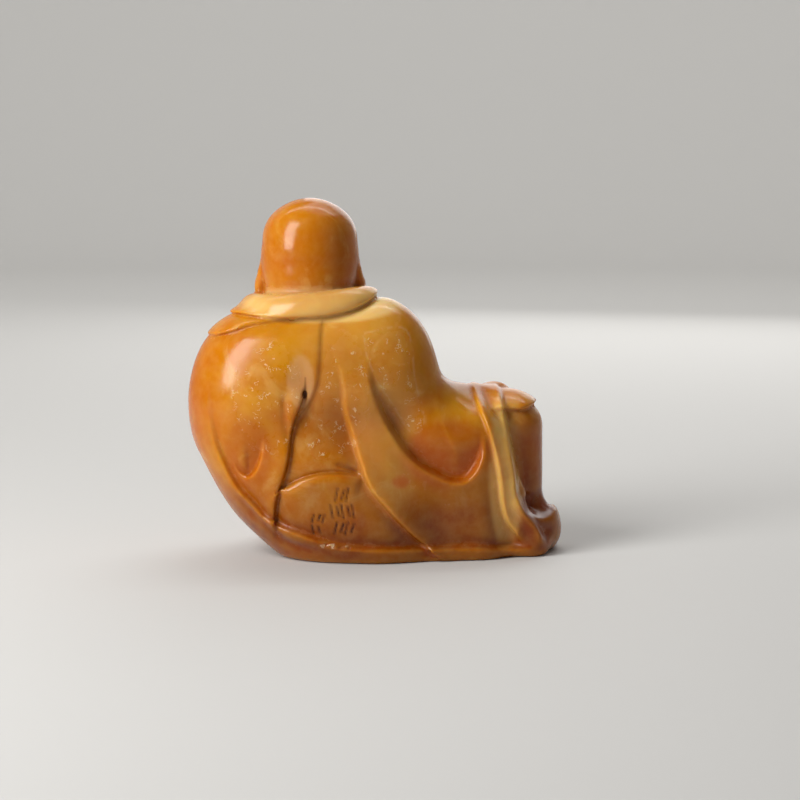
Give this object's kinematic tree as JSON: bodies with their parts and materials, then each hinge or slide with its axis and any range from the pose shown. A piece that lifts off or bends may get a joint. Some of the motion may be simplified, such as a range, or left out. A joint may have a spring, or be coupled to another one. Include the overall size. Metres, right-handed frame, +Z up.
{
  "type": "seated budai figurine",
  "caption": "Small amber soapstone figurine of a seated budai at ease in a loose robe, right knee raised, carved from one piece with a flat underside.",
  "frame": {"origin": "A point on the flat underside, under the figure's middle, 3 mm behind the middle of the depth.", "axes": "+Z up, +X towards the figure's raised right knee, along its width, and +Y the way its face looks."},
  "size_m": [0.0612, 0.0348, 0.058],
  "materials": {
    "amber_soapstone": "polished"
  },
  "bodies": {
    "root": {"budai_figure": "amber_soapstone"}
  },
  "joints": []
}
